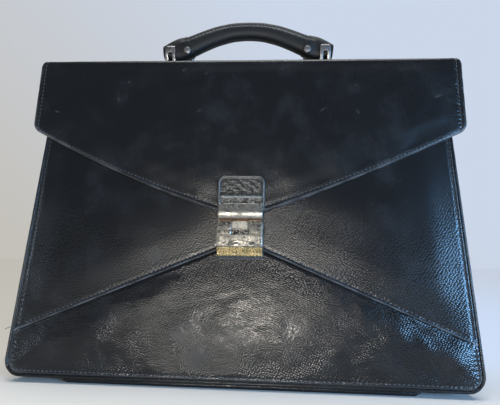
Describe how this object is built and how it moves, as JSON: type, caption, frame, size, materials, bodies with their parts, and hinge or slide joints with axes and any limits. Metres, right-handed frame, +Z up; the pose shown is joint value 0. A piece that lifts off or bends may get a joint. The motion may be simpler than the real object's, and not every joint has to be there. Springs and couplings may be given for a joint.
{
  "type": "leather briefcase",
  "caption": "Black grained leather briefcase with a full flap, a push-button lock, a swinging handle, folded side gussets and a divided lined inside.",
  "frame": {"origin": "centre of the base pad's underside, on the ground that the case stands on", "axes": "+X to the right as one faces the lock, +Y from the front to the back, +Z up"},
  "size_m": [0.416, 0.0929, 0.3625],
  "materials": {
    "leather": "grained, semi-gloss, worn lighter on edges",
    "lining": "matt twill",
    "board": "matt, hidden between leather and lining",
    "nickel": "scratched, satin",
    "steel": "plain",
    "gunmetal": "dark plated",
    "aged_brass": "worn plating"
  },
  "bodies": {
    "case": {"back_leather": "leather", "back_board": "board", "back_lining": "lining", "back_piping": "leather", "back_top_binding": "leather", "flap_anchor": "leather", "inner_pocket": "lining", "gusset_left": "leather", "gusset_right": "leather", "base_panel": "leather", "base_board": "board", "base_pad": "leather", "divider": "lining", "divider_binding": "leather"},
    "front": {"front_yoke": "leather", "front_lower_panel": "leather", "front_board": "board", "front_lining": "lining", "front_piping": "leather", "front_top_binding": "leather", "lock_pad": "leather", "lock_base": "aged_brass", "lock_cover": "nickel", "lock_back_plate": "steel", "lock_screw_left": "steel", "lock_screw_right": "steel", "lock_spring": "steel"},
    "lock_slider": {"lock_button": "nickel", "latch_bolt": "steel"},
    "flap_top": {"flap_top_leather": "leather", "flap_top_lining": "lining", "carry_bar": "steel", "chape_left": "nickel", "chape_right": "nickel", "chape_rivet_left_1": "gunmetal", "chape_rivet_left_2": "gunmetal", "chape_rivet_right_1": "gunmetal", "chape_rivet_right_2": "gunmetal"},
    "flap_front": {"flap_leather": "leather", "flap_padding": "board", "flap_lining": "lining", "hasp_tab": "leather", "hasp_plate": "nickel", "hasp_staple": "steel", "hasp_rivet_left": "steel", "hasp_rivet_right": "steel"},
    "handle": {"grip_leather": "leather", "grip_core": "board", "handle_tab_left": "leather", "handle_tab_right": "leather", "handle_rivet_left": "gunmetal", "handle_rivet_right": "gunmetal", "bail_left": "nickel", "bail_right": "nickel", "pivot_pin_left": "steel", "pivot_pin_right": "steel"}
  },
  "joints": [
    {"name": "front_spread", "type": "hinge", "parent": "case", "child": "front", "pos_m": [0, -0.045, 0.0045], "axis": [1, 0, 0], "range_deg": [0, 6]},
    {"name": "flap_hinge", "type": "hinge", "parent": "case", "child": "flap_top", "pos_m": [0, 0.0226, 0.306], "axis": [-1, 0, 0], "range_deg": [0, 100]},
    {"name": "flap_fold", "type": "hinge", "parent": "flap_top", "child": "flap_front", "pos_m": [0, -0.0256, 0.306], "axis": [-1, 0, 0], "range_deg": [0, 85]},
    {"name": "handle_pivot", "type": "hinge", "parent": "flap_top", "child": "handle", "pos_m": [0, 0, 0.316], "axis": [1, 0, 0], "range_deg": [-65, 65]},
    {"name": "lock_push", "type": "slide", "parent": "front", "child": "lock_slider", "axis": [0, -0.0738, -0.9973], "range_m": [0, 0.004], "stiffness_N_per_m": 500, "springref_m": -0.003, "deforming": ["lock_spring"]}
  ],
  "couplings": [
    {"joint": "front_spread", "follows": "flap_hinge", "ratio": 0.06}
  ]
}
